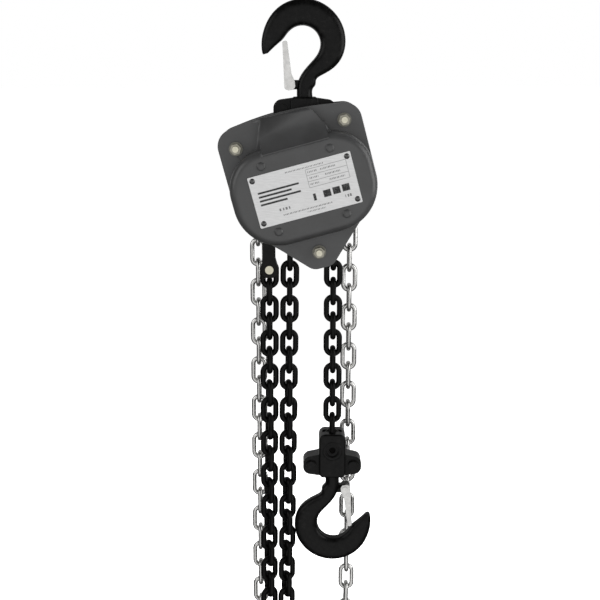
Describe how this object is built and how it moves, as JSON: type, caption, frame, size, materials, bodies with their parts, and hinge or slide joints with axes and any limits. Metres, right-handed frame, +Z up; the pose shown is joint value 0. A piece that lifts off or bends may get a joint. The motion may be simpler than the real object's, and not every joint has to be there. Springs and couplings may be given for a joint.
{
  "type": "chain hoist",
  "caption": "Hand chain hoist: geared body between side plates, swivel top hook, load chain and block with lower hook, looped slack chain and hand chain.",
  "frame": {"origin": "the seat of the top hook: the crown of the bowl's inner curve, in the hoist's middle plane", "axes": "+Z up along the hanging hoist, -Y towards the label on the gear cover, +X to the side of the loaded strand"},
  "size_m": [0.155, 0.1293, 0.9554],
  "materials": {
    "body_paint": "dark grey satin paint",
    "hook_black": "black enamel on forged steel",
    "chain_black": "black oxide",
    "zinc": "bright zinc plate",
    "yellow_zinc": "passivated zinc plate",
    "label_metal": "brushed",
    "machined": "turned steel",
    "cast": "cast, machined at the running faces",
    "friction": "moulded brake lining"
  },
  "bodies": {
    "suspension_hook": {"suspension_hook": "hook_black", "suspension_hook_collar": "hook_black", "suspension_hook_latch_pin": "zinc", "suspension_hook_latch_spring": "zinc"},
    "suspension_latch": {"suspension_hook_latch": "zinc"},
    "suspension_yoke": {"suspension_yoke_front": "hook_black", "suspension_yoke_rear": "hook_black", "suspension_yoke_bolts": "hook_black", "suspension_yoke_nuts": "hook_black"},
    "hoist_body": {"front_side_plate": "body_paint", "rear_side_plate": "body_paint", "top_pin": "machined", "stay_bolts": "yellow_zinc", "stay_nuts": "yellow_zinc", "stay_washers": "zinc", "gear_cover": "body_paint", "name_plate": "label_metal", "name_plate_rivets": "label_metal", "sheave_bearings": "machined", "gear_outer_plate": "body_paint", "gear_plate_studs": "machined", "ratchet_disc": "machined", "pawl_pins": "machined", "pawl_springs": "machined", "hand_wheel_cover": "body_paint", "chain_guide": "cast", "chain_guide_pin": "yellow_zinc", "chain_stripper": "cast", "chain_anchor": "hook_black", "chain_anchor_hanger": "yellow_zinc", "chain_anchor_pin": "yellow_zinc", "load_chain_upper": "chain_black", "slack_chain": "chain_black", "hand_chain": "zinc"},
    "load_sheave": {"load_sheave": "cast", "load_gear": "machined", "gear_retaining_ring": "machined"},
    "intermediate_left": {"intermediate_gear_left": "machined"},
    "intermediate_right": {"intermediate_gear_right": "machined"},
    "drive": {"drive_shaft": "machined", "brake_hub": "machined", "friction_discs": "friction", "hand_wheel": "zinc", "wheel_washer": "zinc", "castle_nut": "yellow_zinc", "split_pin": "zinc"},
    "pawl_first": {"pawl_1": "machined"},
    "pawl_second": {"pawl_2": "machined"},
    "load_strand": {"load_chain_lower": "chain_black"},
    "load_block": {"load_block_front": "hook_black", "load_block_rear": "hook_black", "load_block_bolts": "hook_black", "load_block_nuts": "hook_black", "load_chain_pin": "chain_black"},
    "load_hook": {"load_hook": "hook_black", "load_hook_collar": "hook_black", "load_hook_latch_pin": "zinc", "load_hook_latch_spring": "zinc"},
    "load_latch": {"load_hook_latch": "zinc"}
  },
  "joints": [
    {"name": "suspension_latch_open", "type": "hinge", "parent": "suspension_hook", "child": "suspension_latch", "pos_m": [-0.0115, 0, -0.056], "axis": [0, 1, 0], "range_deg": [0, 30], "stiffness_Nm_per_rad": 0.05, "springref_deg": -34.38},
    {"name": "suspension_swivel", "type": "hinge", "parent": "suspension_hook", "child": "suspension_yoke", "pos_m": [0.0022, 0, -0.078], "axis": [0, 0, 1], "continuous": true},
    {"name": "hoist_swing", "type": "hinge", "parent": "suspension_yoke", "child": "hoist_body", "pos_m": [0.0022, 0, -0.097], "axis": [0, -1, 0], "range_deg": [-15, 4]},
    {"name": "drive_turn", "type": "hinge", "parent": "hoist_body", "child": "drive", "pos_m": [0.002, 0, -0.1546], "axis": [0, -1, 0], "range_deg": [0, 9000], "deforming": ["load_chain_upper", "load_chain_lower", "slack_chain", "hand_chain"]},
    {"name": "load_lift", "type": "slide", "parent": "hoist_body", "child": "load_strand", "axis": [0, 0, 1], "range_m": [0, 0.144]},
    {"name": "sheave_turn", "type": "hinge", "parent": "hoist_body", "child": "load_sheave", "pos_m": [0.002, 0, -0.1546], "axis": [0, -1, 0], "range_deg": [0, 360]},
    {"name": "intermediate_left_turn", "type": "hinge", "parent": "hoist_body", "child": "intermediate_left", "pos_m": [-0.03084, 0, -0.1634], "axis": [0, -1, 0], "range_deg": [-1800, 0]},
    {"name": "intermediate_right_turn", "type": "hinge", "parent": "hoist_body", "child": "intermediate_right", "pos_m": [0.03484, 0, -0.1458], "axis": [0, -1, 0], "range_deg": [-1800, 0]},
    {"name": "pawl_first_lift", "type": "hinge", "parent": "hoist_body", "child": "pawl_first", "pos_m": [-0.04477, 0, -0.1438], "axis": [0, 1, 0], "range_deg": [0, 14], "stiffness_Nm_per_rad": 0.05, "springref_deg": -28.65, "deforming": ["pawl_springs"]},
    {"name": "pawl_second_lift", "type": "hinge", "parent": "hoist_body", "child": "pawl_second", "pos_m": [0.04877, 0, -0.1654], "axis": [0, 1, 0], "range_deg": [0, 14], "stiffness_Nm_per_rad": 0.05, "springref_deg": -28.65},
    {"name": "block_swing", "type": "hinge", "parent": "load_strand", "child": "load_block", "pos_m": [0.0314, 0, -0.4291], "axis": [0, 1, 0], "range_deg": [-15, 15]},
    {"name": "load_hook_swivel", "type": "hinge", "parent": "load_block", "child": "load_hook", "pos_m": [0.0314, 0, -0.448], "axis": [0, 0, 1], "continuous": true},
    {"name": "load_latch_open", "type": "hinge", "parent": "load_hook", "child": "load_latch", "pos_m": [0.0451, 0, -0.4746], "axis": [0, 1, 0], "range_deg": [0, 30], "stiffness_Nm_per_rad": 0.05, "springref_deg": -34.38}
  ],
  "couplings": [
    {"joint": "load_lift", "follows": "drive_turn", "m_per_rad": 0.00091673},
    {"joint": "sheave_turn", "follows": "drive_turn", "ratio": 0.04},
    {"joint": "intermediate_left_turn", "follows": "drive_turn", "ratio": -0.2},
    {"joint": "intermediate_right_turn", "follows": "drive_turn", "ratio": -0.2},
    {"joint": "pawl_second_lift", "follows": "pawl_first_lift", "ratio": 1}
  ]
}
